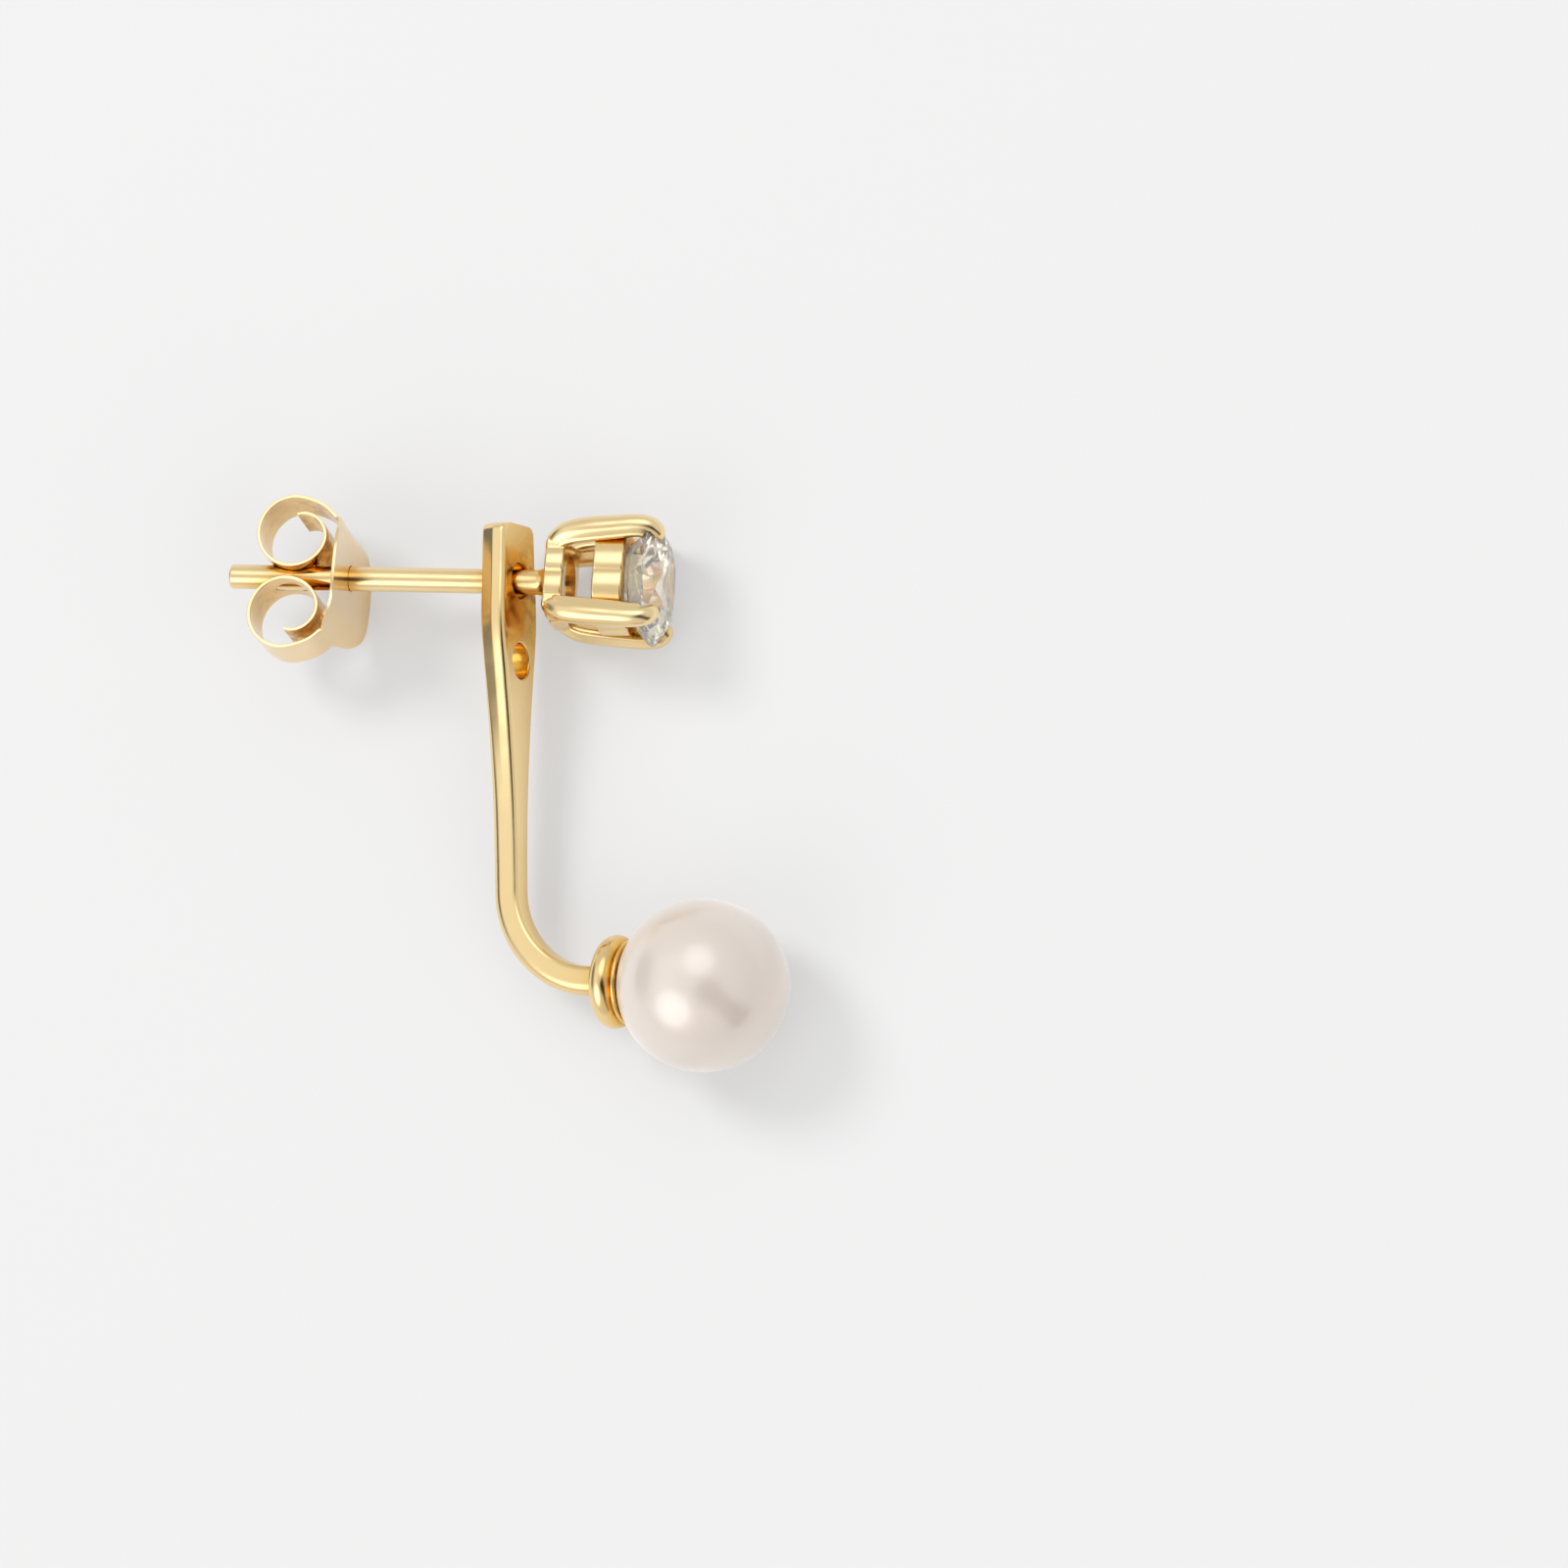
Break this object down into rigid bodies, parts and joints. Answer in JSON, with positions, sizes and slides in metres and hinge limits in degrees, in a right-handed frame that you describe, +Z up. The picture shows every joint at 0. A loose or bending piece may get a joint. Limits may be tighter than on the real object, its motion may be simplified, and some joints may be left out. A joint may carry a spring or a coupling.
{
  "type": "pearl ear jacket with a stone stud",
  "caption": "Stud earring with a round stone in a four-prong basket, a curved jacket bar on the post that carries a pearl, and a butterfly clutch; laid down at rest.",
  "frame": {"origin": "on the surface the earring lies on, under the middle of its outline seen from above", "axes": "+Z up from the surface; +X along the surface from the post's tip towards the stone; +Y along the surface from the pearl towards the jacket bar's top"},
  "size_m": [0.021, 0.02, 0.006],
  "materials": {
    "stud_gold": "polished yellow gold",
    "clear_stone": "cut and polished, clear",
    "jacket_gold": "polished yellow gold",
    "pearl": "cream nacre with a soft pink and green lustre",
    "clutch_gold": "polished gold, slightly rosier than the jacket"
  },
  "bodies": {
    "stud": {"stud_setting": "stud_gold", "stone": "clear_stone"},
    "jacket": {"jacket": "jacket_gold", "pearl": "pearl"},
    "clutch": {"clutch": "clutch_gold"}
  },
  "joints": [
    {"name": "jacket_swing", "type": "hinge", "parent": "stud", "child": "jacket", "pos_m": [0.00009, 0.00722, 0.00242], "axis": [0.9989, 0, -0.0462], "continuous": true},
    {"name": "clutch_slide", "type": "slide", "parent": "stud", "child": "clutch", "axis": [0.9989, 0, -0.0462], "range_m": [-0.0046, 0.0046]}
  ]
}
